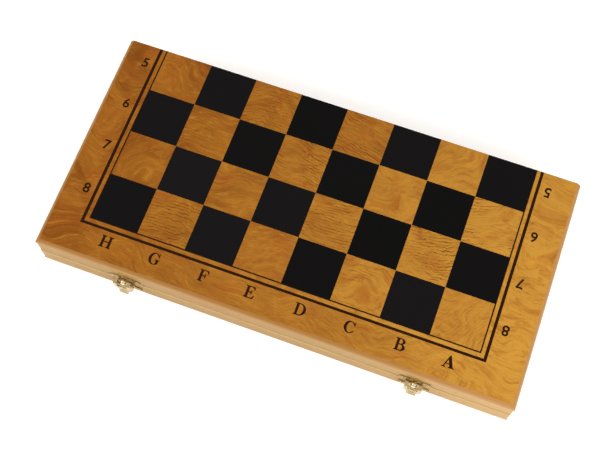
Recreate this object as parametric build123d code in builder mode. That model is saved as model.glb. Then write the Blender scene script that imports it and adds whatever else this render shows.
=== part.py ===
"""Folding chess box: two board halves on butt hinges, two duckbill latches and the chessmen inside.

Millimetres. The box is closed and lies on its lower board. X runs along the files, left to
right as seen from the latches, Y runs from the latches to the hinges, and Z is up.
The origin is the centre of the lower half's outer face.
"""
from build123d import *
from collections import namedtuple
import math
import os

# ---------------------------------------------------------------- driving dimensions
# Board
square = 35.0
files = 8
ranks_per_half = 4
margin_left = 29.3
margin_right = 32.1
margin_front = 29.3
seam_trim = 1.3          # what the fold takes off the two middle ranks, each

# Box
panel_t = 4.0
edge_bevel = 2.7
rail_t = 9.0
corner_r = 1.5
arris_r = 0.4
rim_gap = 0.2            # between the two closed rims
lid_setback = 0.6        # the lid's front stands this far behind the base's
felt_t = 0.8
felt_fit = 0.2
store_clearance = 2.4    # above the largest chessman when the box is closed
wall_gap = 1.5           # between the chessmen and the rails
man_gap = 1.0            # between one chessman and the next
man_lift = 0.05          # between a chessman and the felt

# Butt hinges
hinge_inset = 70.0
hinge_length = 30.0
hinge_offset = 0.4       # the hinge axis stands this far behind the back faces
knuckles = 5
knuckle_r = 2.0
knuckle_gap = 0.2
knuckle_relief = 0.3
hinge_pin_r = 1.0
running_fit = 0.05
leaf_t = 1.0
leaf_width = 6.5
leaf_fit = 0.1

# Brass nails, the same in hinges and latches
nail_r = 0.6
nail_head_r = 1.2
nail_length = 7.5
hinge_nail_pitch = 20.0
hinge_nail_inset = 4.0

# Duckbill latches
latch_spacing = 209.6
latch_shift = -0.5       # both latches sit this far along X from the middle
latch_plate_t = 0.8
latch_plate_edge = 0.6   # from the split line to each plate
latch_plate_h = 6.0
latch_base_h = 9.6
latch_width = 12.0
wing_pitch = 17.8
wing_r = 1.9
petal_r = 0.7
petals = 8
catch_nail_z = 3.7
base_nail_z = 8.5
lip_h = 0.5
ball_r = 2.3
ball_out = 2.7           # ball centre in front of the base's front face
ball_up = 4.2            # ball centre above the split line
ball_neck_r = 1.2
stud_tenon_r = 1.0
window_gap = 1.4         # between the ball and each side of the lever's window
ball_gap = 0.35          # round the ball as it lifts out of the lever's window
bar_gap = 0.1            # between the ball's top and the bar that passes over it
lever_t = 0.8
lever_pin_r = 0.7
lever_pin_out = 3.0
lever_pin_down = 5.0
lever_eye_r = 1.6
lever_gap = 0.4
ear_t = 0.8
bill_width = 6.8
bill_reach = 6.9
bill_drop = 8.6

# Chessmen: height, and the diameter of the foot
king_height, king_foot = 60.0, 24.0
queen_height, queen_foot = 54.0, 23.0
bishop_height, bishop_foot = 46.0, 21.0
knight_height, knight_foot = 42.0, 21.0
rook_height, rook_foot = 36.0, 21.0
pawn_height, pawn_foot = 31.0, 18.0
knight_head_t = 10.0
cross_t = 1.8

# ---------------------------------------------------------------- derived sizes
length = files * square + margin_left + margin_right
depth = ranks_per_half * square + margin_front - seam_trim
half_height = panel_t + felt_t + (king_foot + store_clearance) / 2
height = 2 * half_height
rail_h = half_height - panel_t - rim_gap / 2
x_right = length / 2
y_back = depth / 2
y_front = -depth / 2
hinge_y = y_back + hinge_offset
hinge_xs = (-(x_right - hinge_inset), x_right - hinge_inset)
latch_xs = (latch_shift - latch_spacing / 2, latch_shift + latch_spacing / 2)
knuckle_pitch = hinge_length / knuckles
nail_cone = nail_head_r - nail_r
window_width = 2 * (ball_r + window_gap)

# A half of the box: its name, outer face, inward direction along Z, and front face
Half = namedtuple("Half", "name outer_z inward front_y")
lower = Half("lower", 0.0, 1, y_front)
upper = Half("upper", height, -1, y_front + lid_setback)
halves = (lower, upper)

nodes = {}


def keep(name, solid):
    """Label a finished piece and file it under its node's name."""
    solid.label = name
    nodes[name] = solid


def level(half, distance):
    """Horizontal plane at a distance inwards from a half's outer face."""
    return Plane.XY.offset(half.outer_z + half.inward * distance)


def rim_z(half):
    """Height of a half's rim."""
    return half_height - half.inward * rim_gap / 2


# ---------------------------------------------------------------- brass nails
def nail(plane):
    """Countersunk nail: its head is flush with the plane and its shank runs against the normal."""
    with BuildPart(mode=Mode.PRIVATE) as one:
        with BuildSketch(Plane(plane.origin, x_dir=plane.x_dir, z_dir=plane.y_dir)):
            with BuildLine():
                Polyline((0, 0), (nail_head_r, 0), (nail_r, nail_cone), (nail_r, nail_length - nail_r),
                         (0, nail_length), close=True)
            make_face()
        revolve(axis=Axis(plane.origin, plane.z_dir))
    return one.part


def hinge_nail_planes(half):
    """Nail heads lie in the leaf's face, which is flush with the rim."""
    y = y_back - hinge_nail_inset
    xs = [x + side * hinge_nail_pitch / 2 for x in hinge_xs for side in (-1, 1)]
    return [Plane((x, y, rim_z(half)), x_dir=(1, 0, 0), z_dir=(0, 0, half.inward)) for x in xs]


def latch_nail_planes(half):
    """Nail heads lie in the front of the latch plates."""
    drop = -half.inward * (catch_nail_z if half is upper else base_nail_z)
    y = half.front_y - latch_plate_t
    xs = [x + side * wing_pitch / 2 for x in latch_xs for side in (-1, 1)]
    return [Plane((x, y, half_height + drop), x_dir=(1, 0, 0), z_dir=(0, -1, 0)) for x in xs]


hinge_nails = {half: [nail(plane) for plane in hinge_nail_planes(half)] for half in halves}
latch_nails = {half: [nail(plane) for plane in latch_nail_planes(half)] for half in halves}

for half in halves:
    with BuildPart() as nails:
        add(hinge_nails[half])
        add(latch_nails[half])
    keep(f"{half.name}_nails", nails.part)


# ---------------------------------------------------------------- board panels
def board_panel(half):
    """Board carrying four ranks, bevelled on every edge but the one at the fold."""
    middle_y = (half.front_y + y_back) / 2
    with BuildPart() as panel:
        with BuildSketch(level(half, 0)):
            with Locations((0, middle_y)):
                Rectangle(length, y_back - half.front_y)
        extrude(amount=half.inward * panel_t)
        outer_face = panel.faces().sort_by(Axis.Z)[0 if half is lower else -1]
        chamfer(outer_face.edges().sort_by(Axis.Y)[:-1], edge_bevel)
    return panel.part


# ---------------------------------------------------------------- rails
def long_rail(half, y_outer, inward_y):
    """Rail along the front or the back of a half, its whole length."""
    with BuildPart() as rail:
        with BuildSketch(level(half, panel_t)):
            with Locations((0, y_outer + inward_y * rail_t / 2)):
                Rectangle(length, rail_t)
        extrude(amount=half.inward * rail_h)
        outer_face = rail.faces().sort_by(Axis.Y)[0 if inward_y > 0 else -1]
        fillet(outer_face.edges().filter_by(Axis.Z), corner_r)
        if inward_y > 0:
            rim_edge = rail.faces().sort_by(Axis.Y)[0].edges().sort_by(Axis.Z)[-1 if half is lower else 0]
            fillet(rim_edge, arris_r)
    return rail.part


def side_rail(half, side):
    """Rail between the front and back rails, at the left (-1) or right (1) end."""
    inner_front = half.front_y + rail_t
    inner_back = y_back - rail_t
    with BuildPart() as rail:
        with BuildSketch(level(half, panel_t)):
            with Locations((side * (x_right - rail_t / 2), (inner_front + inner_back) / 2)):
                Rectangle(rail_t, inner_back - inner_front)
        extrude(amount=half.inward * rail_h)
        outer_face = rail.faces().sort_by(Axis.X)[-1 if side > 0 else 0]
        fillet(outer_face.edges().sort_by(Axis.Z)[-1 if half is lower else 0], arris_r)
    return rail.part


def front_rail(half):
    """Front rail with a pilot hole for each latch nail."""
    with BuildPart() as rail:
        add(long_rail(half, half.front_y, 1))
        add(latch_nails[half], mode=Mode.SUBTRACT)
        if half is upper:
            add([stud(x) for x in latch_xs], mode=Mode.SUBTRACT)
    return rail.part


def back_rail(half):
    """Back rail with a mortise for each hinge leaf and a hollow round each hinge's knuckles."""
    leaf_front = y_back - leaf_width - leaf_fit
    with BuildPart() as rail:
        add(long_rail(half, y_back, -1))
        with BuildSketch(Plane.XY.offset(rim_z(half))):
            with Locations(*[(x, (leaf_front + hinge_y) / 2) for x in hinge_xs]):
                Rectangle(hinge_length + 2 * leaf_fit, hinge_y - leaf_front)
        extrude(amount=-half.inward * leaf_t, mode=Mode.SUBTRACT)
        for x in hinge_xs:
            with BuildSketch(Plane.YZ.offset(x)):
                with Locations((hinge_y, half_height)):
                    Circle(knuckle_r + knuckle_relief)
            extrude(amount=hinge_length / 2 + knuckle_relief, both=True, mode=Mode.SUBTRACT)
        add(hinge_nails[half], mode=Mode.SUBTRACT)
    return rail.part


# ---------------------------------------------------------------- felt linings
def felt_lining(half):
    """Felt glued to the inside of a board, between the rails."""
    inner_front = half.front_y + rail_t
    inner_back = y_back - rail_t
    with BuildPart() as felt:
        with BuildSketch(level(half, panel_t)):
            with Locations((0, (inner_front + inner_back) / 2)):
                Rectangle(length - 2 * rail_t - 2 * felt_fit, inner_back - inner_front - 2 * felt_fit)
        extrude(amount=half.inward * felt_t)
    return felt.part


# ---------------------------------------------------------------- butt hinges
def knuckle_starts(hinge_x, own):
    """Left ends of a leaf's own knuckles: the lower leaf has the 1st, 3rd and 5th."""
    first = hinge_x - hinge_length / 2
    return [first + n * knuckle_pitch for n in range(knuckles) if (n % 2 == 0) == own]


def hinge_leaf(half, hinge_x):
    """Leaf let into the rim, with its knuckles round the pin and cut clear of the other leaf's."""
    leaf_front = y_back - leaf_width
    own = half is lower
    bore_r = hinge_pin_r if own else hinge_pin_r + running_fit
    with BuildPart() as leaf:
        with BuildSketch(Plane.XY.offset(rim_z(half))):
            with Locations((hinge_x, (leaf_front + hinge_y) / 2)):
                Rectangle(hinge_length, hinge_y - leaf_front)
        extrude(amount=-half.inward * leaf_t)
        for start in knuckle_starts(hinge_x, not own):
            with BuildSketch(Plane.YZ.offset(start - knuckle_gap / 2)):
                with Locations((hinge_y, half_height)):
                    Circle(knuckle_r + knuckle_relief)
            extrude(amount=knuckle_pitch + knuckle_gap, mode=Mode.SUBTRACT)
        for start in knuckle_starts(hinge_x, own):
            with BuildSketch(Plane.YZ.offset(start + knuckle_gap / 2)):
                with Locations((hinge_y, half_height)):
                    Circle(knuckle_r)
            extrude(amount=knuckle_pitch - knuckle_gap)
        with BuildSketch(Plane.YZ.offset(hinge_x)):
            with Locations((hinge_y, half_height)):
                Circle(bore_r)
        extrude(amount=hinge_length, both=True, mode=Mode.SUBTRACT)
        add(hinge_nails[half], mode=Mode.SUBTRACT)
    return leaf.part


with BuildPart() as hinge_pins:
    for x in hinge_xs:
        with BuildSketch(Plane.YZ.offset(x)):
            with Locations((hinge_y, half_height)):
                Circle(hinge_pin_r)
        extrude(amount=hinge_length / 2 - knuckle_gap / 2, both=True)
keep("hinge_pins", hinge_pins.part)


# ---------------------------------------------------------------- latches
def latch_plane(latch_x, face_y, out=0.0):
    """Plane on a front face: its x is the box's X, its y is height above the split line."""
    return Plane((latch_x, face_y - out, half_height), x_dir=(1, 0, 0), z_dir=(0, -1, 0))


def lace_plate(plane, way, plate_h, nail_z):
    """Plate with a round pierced wing at each side and a lobe away from the split line."""
    middle = latch_plate_edge + plate_h / 2
    pierced_r = (nail_head_r + wing_r) / 2 + petal_r / 4
    wings = [(side * wing_pitch / 2, way * nail_z) for side in (-1, 1)]
    with BuildPart() as plate:
        with BuildSketch(plane):
            with Locations((0, way * middle)):
                Rectangle(latch_width, plate_h)
            with Locations((0, way * (latch_plate_edge + plate_h))):
                Ellipse(latch_width / 4, petal_r * 2)
            with Locations((0, way * nail_z)):
                Rectangle(wing_pitch, 2 * wing_r)
            with Locations(*wings):
                Circle(wing_r)
                with PolarLocations(wing_r - petal_r / 4, petals):
                    Circle(petal_r)
            with Locations(*wings):
                with PolarLocations(pierced_r, petals, start_angle=180 / petals):
                    Circle(petal_r / 2, mode=Mode.SUBTRACT)
        extrude(amount=latch_plate_t)
    return plate.part


def stud(latch_x):
    """Ball-headed stud riveted through the catch plate."""
    face_y = upper.front_y
    reach = ball_out + (upper.front_y - y_front)
    tenon = 2 * latch_plate_t
    with BuildPart(mode=Mode.PRIVATE) as one:
        with BuildSketch(latch_plane(latch_x, face_y, -tenon)):
            with Locations((0, ball_up)):
                Circle(stud_tenon_r)
        extrude(amount=tenon + latch_plate_t)
        with BuildSketch(latch_plane(latch_x, face_y, latch_plate_t)):
            with Locations((0, ball_up)):
                Circle(ball_neck_r)
        extrude(amount=reach - latch_plate_t)
        with Locations((latch_x, face_y - reach, half_height + ball_up)):
            Sphere(ball_r)
    return one.part


def catch_plate(latch_x):
    """Plate on the lid that carries the ball stud, with a raised lip over it."""
    plane = latch_plane(latch_x, upper.front_y)
    lip_r = ball_r + 2 * ball_gap
    with BuildPart() as plate:
        add(lace_plate(plane, 1, latch_plate_h, catch_nail_z))
        with BuildSketch(latch_plane(latch_x, upper.front_y, latch_plate_t)):
            with Locations((0, ball_up)):
                Circle(lip_r)
                Circle(lip_r - latch_plate_t, mode=Mode.SUBTRACT)
            with Locations((0, ball_up - lip_r)):
                Rectangle(2 * lip_r, 2 * lip_r, mode=Mode.SUBTRACT)
        extrude(amount=lip_h)
        add(latch_nails[upper], mode=Mode.SUBTRACT)
        add(stud(latch_x), mode=Mode.SUBTRACT)
    return plate.part


def side_plane(x):
    """Plane across a latch: its x is the distance in front of the base, its y is above the split."""
    return Plane((x, y_front, half_height), x_dir=(0, -1, 0), z_dir=(-1, 0, 0))


def latch_base(latch_x):
    """Plate on the base with the two ears that hold the lever's pin."""
    ear_x = latch_width / 2 - lever_t - lever_gap - ear_t / 2
    eye = (lever_pin_out, -lever_pin_down)
    with BuildPart() as base:
        add(lace_plate(latch_plane(latch_x, lower.front_y), -1, latch_base_h, base_nail_z))
        for side in (-1, 1):
            with BuildSketch(side_plane(latch_x + side * ear_x)):
                with Locations(eye):
                    Circle(lever_eye_r)
                with Locations((lever_pin_out / 2, -lever_pin_down)):
                    Rectangle(lever_pin_out, 2 * lever_eye_r)
                with Locations(eye):
                    Circle(lever_pin_r, mode=Mode.SUBTRACT)
            extrude(amount=ear_t / 2, both=True)
        add(latch_nails[lower], mode=Mode.SUBTRACT)
    return base.part


def latch_lever(latch_x):
    """Duckbill lever: two cheeks on the pin, a window round the ball, a bar over it and a bill below."""
    web_up = ball_up + ball_r + bar_gap
    window_foot = ball_up - ball_r - 2 * ball_gap
    web_out = ball_out + ball_r + ball_gap
    cheek_x = latch_width / 2 - lever_t / 2
    waist_out = lever_pin_out + lever_eye_r + lever_gap
    shell = [(ball_out, web_up + lever_t), (web_out + lever_t, web_up + lever_t),
             (waist_out + lever_t, -lever_pin_down), (bill_reach, -bill_drop),
             (bill_reach - lever_t, -bill_drop - lever_t / 2), (waist_out, -lever_pin_down - lever_t),
             (waist_out, -lever_pin_down), (web_out, web_up), (ball_out, web_up)]
    cheek = [(ball_out, web_up), (web_out, web_up), (waist_out, -lever_pin_down),
             (lever_pin_out, -lever_pin_down - lever_eye_r), (lever_pin_out - lever_eye_r, -lever_pin_down)]
    with BuildPart() as lever:
        with BuildSketch(side_plane(latch_x)):
            with BuildLine():
                Polyline(*shell, close=True)
            make_face()
        extrude(amount=latch_width / 2, both=True)
        with BuildSketch(Plane.XY.offset(half_height + web_up - lever_t)):
            with Locations((latch_x, y_front - web_out / 2)):
                Rectangle(window_width, web_out)
        extrude(amount=3 * lever_t, mode=Mode.SUBTRACT)
        with BuildSketch(latch_plane(latch_x, y_front, ball_out)):
            with Locations((0, (window_foot + web_up) / 2)):
                Rectangle(window_width, web_up - window_foot)
        extrude(amount=bill_reach, mode=Mode.SUBTRACT)
        bill_side = (latch_width - bill_width) / 2
        bill_top = -lever_pin_down - lever_t
        for side in (-1, 1):
            with BuildSketch(latch_plane(latch_x, y_front)):
                with BuildLine():
                    Polyline((side * bill_width / 2, -2 * bill_drop),
                             (side * bill_width / 2, bill_top),
                             (side * latch_width / 2, bill_top + bill_side),
                             (side * latch_width, -2 * bill_drop), close=True)
                make_face()
            extrude(amount=2 * bill_reach, mode=Mode.SUBTRACT)
        for side in (-1, 1):
            with BuildSketch(side_plane(latch_x + side * cheek_x)):
                with BuildLine():
                    Polyline(*cheek, close=True)
                make_face()
                with Locations((lever_pin_out, -lever_pin_down)):
                    Circle(lever_eye_r)
                with Locations((lever_pin_out, -lever_pin_down)):
                    Circle(lever_pin_r + running_fit, mode=Mode.SUBTRACT)
            extrude(amount=lever_t / 2, both=True)
    return lever.part


with BuildPart() as latch_pins:
    for x in latch_xs:
        with BuildSketch(side_plane(x)):
            with Locations((lever_pin_out, -lever_pin_down)):
                Circle(lever_pin_r)
        extrude(amount=latch_width / 2, both=True)
keep("latch_pins", latch_pins.part)

with BuildPart() as latch_studs:
    add([stud(x) for x in latch_xs])
keep("latch_studs", latch_studs.part)

for x, place in zip(latch_xs, ("left", "right")):
    keep(f"latch_catch_{place}", catch_plate(x))
    keep(f"latch_base_{place}", latch_base(x))
    keep(f"latch_lever_{place}", latch_lever(x))

for half in halves:
    keep(f"{half.name}_panel", board_panel(half))
    keep(f"{half.name}_front_rail", front_rail(half))
    keep(f"{half.name}_back_rail", back_rail(half))
    keep(f"{half.name}_felt", felt_lining(half))
    for side, place in ((-1, "left"), (1, "right")):
        keep(f"{half.name}_{place}_rail", side_rail(half, side))
    for x, place in zip(hinge_xs, ("left", "right")):
        keep(f"{half.name}_hinge_leaf_{place}", hinge_leaf(half, x))

# ---------------------------------------------------------------- chessmen
# A turned outline runs from the foot's edge to the top. Each entry is a point, as shares of
# the height and of the foot's radius, or an arc: a point that it passes, then its end.
# Each kind's last two values are the widest place of its head, on which it lies.
foot = [(0.0, 0.94), (0.04, 1.0, 0.08, 0.94), (0.085, 0.78), (0.11, 0.79, 0.135, 0.69)]
Kind = namedtuple("Kind", "height foot outline rest_h rest_r")
king = Kind(king_height, king_foot, foot + [
    (0.27, 0.44, 0.50, 0.33), (0.505, 0.55), (0.525, 0.59, 0.545, 0.55), (0.55, 0.38),
    (0.69, 0.42, 0.81, 0.58), (0.825, 0.56), (0.87, 0.42, 0.90, 0.12), (0.90, 0.0)], 0.81, 0.58)
queen = Kind(queen_height, queen_foot, foot + [
    (0.28, 0.43, 0.52, 0.31), (0.525, 0.53), (0.545, 0.57, 0.565, 0.53), (0.57, 0.36),
    (0.74, 0.41, 0.89, 0.60), (0.90, 0.52), (0.925, 0.36, 0.93, 0.13), (0.965, 0.16, 1.0, 0.03), (1.0, 0.0)],
    0.89, 0.60)
bishop = Kind(bishop_height, bishop_foot, foot + [
    (0.28, 0.42, 0.55, 0.27), (0.555, 0.50), (0.575, 0.53, 0.595, 0.49), (0.60, 0.30),
    (0.73, 0.46, 0.915, 0.12), (0.957, 0.18, 1.0, 0.03), (1.0, 0.0)], 0.75, 0.47)
rook = Kind(rook_height, rook_foot, foot + [
    (0.35, 0.56, 0.70, 0.50), (0.72, 0.68), (0.76, 0.72), (1.0, 0.72), (1.0, 0.0)], 1.0, 0.72)
pawn = Kind(pawn_height, pawn_foot, foot + [
    (0.32, 0.42, 0.58, 0.30), (0.585, 0.52), (0.61, 0.57, 0.635, 0.50), (0.675, 0.30),
    (0.826, 0.60, 1.0, 0.03), (1.0, 0.0)], 0.84, 0.61)
knight = Kind(knight_height, knight_foot, foot + [
    (0.19, 0.60, 0.25, 0.62), (0.31, 0.72), (0.345, 0.62), (0.345, 0.0)],
    1.0, knight_head_t / knight_foot)
widest_foot_h = 0.04


def lean(kind):
    """Angle at which a chessman lies, resting on the edge of its foot and on its head."""
    radius = kind.foot / 2
    return math.atan2(radius - kind.rest_r * radius, (kind.rest_h - widest_foot_h) * kind.height)


def slot_length(kind):
    """Length of felt that a lying chessman covers."""
    return kind.height * math.cos(lean(kind)) + kind.foot / 2 * math.sin(lean(kind))


def lying_plane(kind, x, start, heading):
    """Plane through a lying chessman: its origin is the foot's centre, its y is the man's axis."""
    tilt = lean(kind)
    radius = kind.foot / 2
    back = radius * math.sin(tilt)
    y = start + back if heading > 0 else start + slot_length(kind) - back
    rise = radius * math.cos(tilt) + widest_foot_h * kind.height * math.sin(tilt)
    z = panel_t + felt_t + man_lift + rise
    return Plane((x, y, z), x_dir=(heading, 0, 0), z_dir=(0, heading * math.sin(tilt), math.cos(tilt)))


def turned(kind, plane):
    """Solid of revolution with a kind's outline."""
    radius = kind.foot / 2
    here = (kind.outline[0][1] * radius, 0)
    with BuildPart() as man:
        with BuildSketch(plane):
            with BuildLine():
                Line((0, 0), here)
                for step in kind.outline[1:]:
                    ends = [(r * radius, h * kind.height) for h, r in zip(step[::2], step[1::2])]
                    if len(ends) == 1:
                        Line(here, ends[0])
                    else:
                        ThreePointArc(here, *ends)
                    here = ends[-1]
                Line(here, (0, 0))
            make_face()
        revolve(axis=Axis(plane.origin, plane.y_dir))
    return man.part


def crown_plane(kind, plane, share):
    """Plane across a chessman's axis, at a share of its height, facing its top."""
    origin = plane.origin + plane.y_dir * (kind.height * share)
    return Plane(origin, x_dir=plane.x_dir, z_dir=plane.y_dir)


def make_king(plane):
    """King with a plain cross on the crown."""
    arm = 0.10 * king_height
    with BuildPart() as man:
        add(turned(king, plane))
        with BuildSketch(plane):
            with Locations((0, king_height - 0.6 * arm)):
                Rectangle(cross_t, 1.2 * arm)
                Rectangle(0.8 * arm, cross_t)
        extrude(amount=cross_t / 2, both=True)
    return man.part


def make_queen(plane):
    """Queen with a scalloped coronet."""
    with BuildPart() as man:
        add(turned(queen, plane))
        with BuildSketch(crown_plane(queen, plane, 0.86)):
            with PolarLocations(0.66 * queen_foot / 2, 9):
                Circle(0.14 * queen_foot / 2)
        extrude(amount=0.05 * queen_height, mode=Mode.SUBTRACT)
    return man.part


def make_bishop(plane):
    """Bishop with a slanting cut in the mitre."""
    slit = 0.10 * bishop_foot / 2
    with BuildPart() as man:
        add(turned(bishop, plane))
        with BuildSketch(plane):
            with Locations(Location((0.34 * bishop_foot / 2, 0.80 * bishop_height, 0), (0, 0, 1), -35)):
                Rectangle(slit, 0.20 * bishop_height)
        extrude(amount=bishop_foot, both=True, mode=Mode.SUBTRACT)
    return man.part


def make_rook(plane):
    """Rook with a hollow, crenellated tower."""
    sink = 0.11 * rook_height
    with BuildPart() as man:
        add(turned(rook, plane))
        with BuildSketch(crown_plane(rook, plane, 1.0)):
            Circle(0.46 * rook_foot / 2)
            for turn in (0, 60, 120):
                Rectangle(rook_foot, 0.18 * rook_foot / 2, rotation=turn)
        extrude(amount=-sink, mode=Mode.SUBTRACT)
    return man.part


def make_knight(plane):
    """Knight: a turned pedestal and a horse's head of even thickness."""
    wide, tall = knight_foot / 2, knight_height
    nape = [(-0.56, 0.33), (-0.74, 0.50), (-0.60, 0.74), (-0.20, 0.93)]
    face = [(-0.20, 0.93), (-0.02, 1.0), (0.06, 0.90), (0.42, 0.76), (0.86, 0.62), (0.88, 0.54),
            (0.72, 0.50), (0.34, 0.55), (0.20, 0.50)]
    chest = [(0.20, 0.50), (0.44, 0.42), (0.56, 0.33)]
    with BuildPart() as man:
        add(turned(knight, plane))
        with BuildSketch(plane):
            with BuildLine():
                Spline(*[(x * wide, y * tall) for x, y in nape])
                Polyline(*[(x * wide, y * tall) for x, y in face])
                Spline(*[(x * wide, y * tall) for x, y in chest])
                Line((0.56 * wide, 0.33 * tall), (-0.56 * wide, 0.33 * tall))
            make_face()
        extrude(amount=knight_head_t / 2, both=True)
    return man.part


def make_pawn(plane):
    """Pawn with a ball for a head."""
    return turned(pawn, plane)


# Each man of one army: its name, its kind and the function that makes it
army = [("king", king, make_king), ("queen", queen, make_queen)]
for number in (1, 2):
    army += [(f"bishop_{number}", bishop, make_bishop), (f"knight_{number}", knight, make_knight),
             (f"rook_{number}", rook, make_rook)]
army += [(f"pawn_{number}", pawn, make_pawn) for number in range(1, 9)]
army.sort(key=lambda man: (-man[1].foot, -man[1].height))


def store(colour, side):
    """Lay one army in columns, from its end wall inwards, each man in the first column with room."""
    start_y = upper.front_y + rail_t + wall_gap
    end_y = y_back - rail_t - wall_gap
    edge = x_right - rail_t - wall_gap
    columns = []
    for name, kind, make in army:
        room = [c for c in columns if c["y"] + slot_length(kind) <= end_y]
        if room:
            column = room[0]
        else:
            column = {"x": side * (edge - kind.foot / 2), "y": start_y, "heading": (-1) ** len(columns)}
            edge -= kind.foot + man_gap
            columns.append(column)
        plane = lying_plane(kind, column["x"], column["y"], column["heading"])
        column["y"] += slot_length(kind) + man_gap
        keep(f"{colour}_{name}", make(plane))


store("white", -1)
store("black", 1)

# ---------------------------------------------------------------- export
os.makedirs("parts", exist_ok=True)
for name, solid in nodes.items():
    export_step(solid, f"parts/{name}.step")
print("box", length, depth, height, "nodes", len(nodes))
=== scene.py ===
import math

import bmesh
import bpy
import numpy as np
from mathutils import Matrix, Vector


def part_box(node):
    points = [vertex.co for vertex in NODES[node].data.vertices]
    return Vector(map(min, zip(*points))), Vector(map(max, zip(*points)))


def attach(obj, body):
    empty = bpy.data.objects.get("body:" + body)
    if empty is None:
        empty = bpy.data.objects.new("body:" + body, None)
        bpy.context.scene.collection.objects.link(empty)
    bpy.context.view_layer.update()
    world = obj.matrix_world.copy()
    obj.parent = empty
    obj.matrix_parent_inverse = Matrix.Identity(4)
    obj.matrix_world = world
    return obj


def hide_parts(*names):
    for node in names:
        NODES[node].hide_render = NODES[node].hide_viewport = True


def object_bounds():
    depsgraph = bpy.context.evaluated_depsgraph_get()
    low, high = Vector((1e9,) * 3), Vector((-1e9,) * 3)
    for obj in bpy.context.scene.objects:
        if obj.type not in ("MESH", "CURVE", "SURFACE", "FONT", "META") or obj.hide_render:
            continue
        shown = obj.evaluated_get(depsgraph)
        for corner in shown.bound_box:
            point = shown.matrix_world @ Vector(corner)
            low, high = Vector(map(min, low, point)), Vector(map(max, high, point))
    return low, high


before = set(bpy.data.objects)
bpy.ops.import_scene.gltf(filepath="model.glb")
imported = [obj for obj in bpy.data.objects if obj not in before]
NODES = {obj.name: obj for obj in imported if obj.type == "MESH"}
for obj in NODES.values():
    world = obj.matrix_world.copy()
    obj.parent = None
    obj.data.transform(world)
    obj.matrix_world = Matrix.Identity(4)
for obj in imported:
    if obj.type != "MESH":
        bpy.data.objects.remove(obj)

bl_info = {
    "name": "Folding Chess Box",
    "version": (1, 0, 0),
    "blender": (4, 5, 0),
    "location": "View3D > Sidebar > Chess Box",
    "description": "Veneer, pine, brass, felt, lettering and chessmen for a folding chess box",
    "category": "Object",
}

CAD_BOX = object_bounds()
HALVES = ("lower", "upper")
SIDES = ("left", "right")
COLOURS = ("white", "black")
FILES = "HGFEDCBA"
# How far each letter stands beside the middle of its file, in millimetres
NUDGES = (0.0, 0.7, 1.5, 0.2, 1.0, 0.8, 1.2, -0.2)
KINDS = ["king", "queen"] + [f"{k}_{n}" for k in ("bishop", "knight", "rook") for n in (1, 2)]
KINDS += [f"pawn_{n}" for n in range(1, 9)]
MM = 0.001
ORIGIN = (0.0, 0.0, 0.0)
# In squares, from the fold: the border's front edge, the letters, and a number within its own square
BORDER_FOOT, LETTER_ROW, DIGIT_ROW = 4.152, 4.366, 0.44
# The two columns of numbers, in squares from the first file, and which way each one reads
DIGIT_COLUMNS = ((-0.325, 1), (8.325, -1))
# Sealed wood of the bevels, and pine, with painted light: a lighter colour for each towards the right end,
# a painted highlight on the bevels' rounded edge, and one along the ledge where the halves meet
BEVEL_EARLY, BEVEL_LATE, BEVEL_FIBRE = (0.213, 0.096, 0.024), (0.138, 0.056, 0.013), (0.265, 0.127, 0.036)
BEVEL_PAINTED_LIGHT, BEVEL_PAINTED_HIGHLIGHT = (0.33, 0.170, 0.062), (0.34, 0.200, 0.078)
PINE_FIBRE, PINE_CLOUD, PINE_PAINTED_LIGHT = (0.37, 0.225, 0.074), (0.24, 0.118, 0.031), (0.38, 0.230, 0.084)
PINE_FLECK, PINE_PAINTED_LEDGE_HIGHLIGHT = (0.12, 0.058, 0.019), (0.44, 0.290, 0.112)
# Ribs on a bill: the first and the last, out from the lever's front and up from its foot
RIB_LINE = ((0.27 * MM, 1.0 * MM), (0.98 * MM, 3.3 * MM))
RIB_REACH, RIB_RADIUS = 2.5 * MM, 0.20 * MM


# ---------------- settings
def length(name, description, default):
    """Property for a length."""
    return bpy.props.FloatProperty(name=name, description=description, default=default, unit="LENGTH",
                                   precision=5)


def paint(name, description, default):
    """Property for a colour."""
    return bpy.props.FloatVectorProperty(name=name, description=description, default=default,
                                         subtype="COLOR", min=0, max=1)


class ChessBoxBoard(bpy.types.PropertyGroup):
    """Sizes and colours of the board and its print."""
    square: length("Square", "Side of one square", 35 * MM)
    file_edge: length("First file", "X of the outer edge of the first file", -141.4 * MM)
    fold: length("Fold", "Y of the line where the two halves of the board meet", 85.31 * MM)
    letter_height: length("Letter height", "Height of the file letters", 8.6 * MM)
    digit_height: length("Digit height", "Height of the rank numbers", 7.6 * MM)
    ink_thickness: length("Ink thickness", "Thickness of the printed lettering", 0.02 * MM)
    veneer: paint("Veneer", "Main colour of the figured veneer", (0.247, 0.089, 0.0086))
    veneer_dark: paint("Veneer shade", "Darker colour of the figure", (0.150, 0.041, 0.0038))
    # Also the colour the board turns towards the right-front, where it stands in part for painted light.
    veneer_light: paint("Veneer light", "Golden colour of the figure's highlights", (0.475, 0.238, 0.034))
    veneer_rust: paint("Veneer rust", "Reddish colour of the figure's swaths", (0.240, 0.066, 0.0085))
    ink: paint("Ink", "Colour of the dark squares", (0.0019, 0.0016, 0.0017))
    line_ink: paint("Line ink", "Brown-black colour of the border lines and the lettering",
                    (0.0150, 0.0040, 0.0006))
    pine: paint("Pine", "Colour of the rails", (0.225, 0.128, 0.029))
    felt: paint("Felt", "Colour of the lining", (0.012, 0.085, 0.035))


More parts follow.
